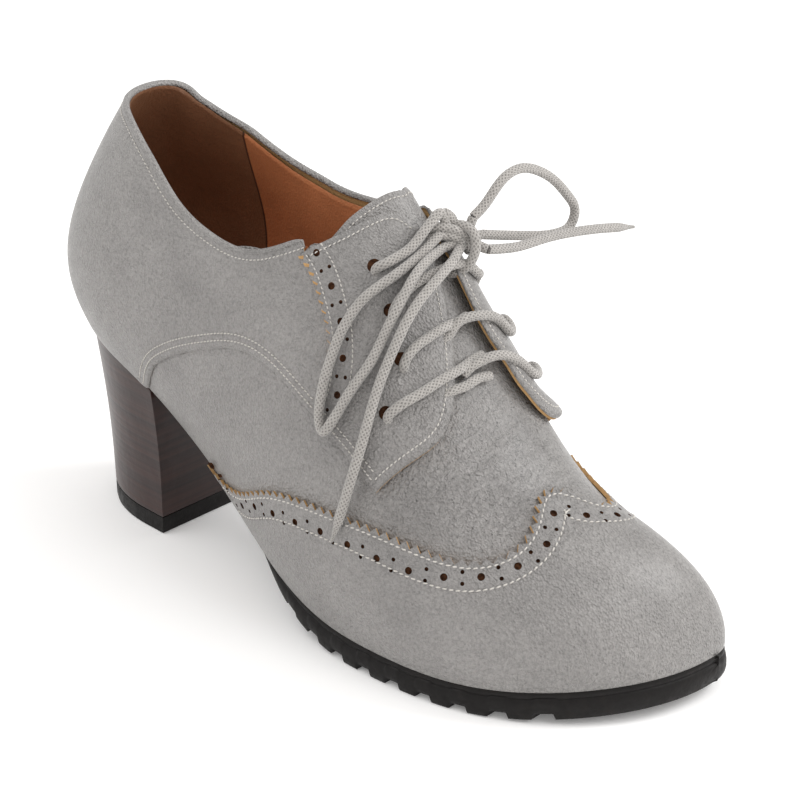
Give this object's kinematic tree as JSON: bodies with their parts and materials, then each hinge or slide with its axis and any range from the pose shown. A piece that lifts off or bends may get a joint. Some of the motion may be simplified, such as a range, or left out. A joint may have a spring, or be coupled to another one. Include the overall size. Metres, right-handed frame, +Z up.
{
  "type": "heeled lace-up shoe",
  "caption": "Right lace-up ankle-height shoe with a high block heel, pinked toe cap and lace flaps, hollow upper with a tongue, lugged outsole and tied lace.",
  "frame": {"origin": "on the floor, under the heel: a point of the heel tap's ground face near its middle", "axes": "+X towards the toe, +Y towards the foot's inner side, +Z up from the floor"},
  "size_m": [0.2636, 0.1396, 0.1543],
  "materials": {
    "grey_leather": "soft nubuck-like leather with a low sheen and a fine creased grain",
    "brown_lining": "smooth brown lining leather",
    "black_rubber": "dark satin rubber",
    "stacked_heel": "polished dark brown stacked heel with fine level lines",
    "grey_lace": "round woven light grey lace"
  },
  "bodies": {
    "root": {"upper": "grey_leather", "quarters": "grey_leather", "facing_outer": "grey_leather", "facing_inner": "grey_leather", "wing_cap": "grey_leather", "tongue": "grey_leather", "insole": "brown_lining", "outsole": "black_rubber", "heel_block": "stacked_heel", "heel_tap": "black_rubber", "lace_crossings": "grey_lace", "lace_knot": "grey_lace", "lace_loop_outer": "grey_lace", "lace_loop_inner": "grey_lace", "lace_end_outer": "grey_lace", "lace_end_inner": "grey_lace"}
  },
  "joints": []
}
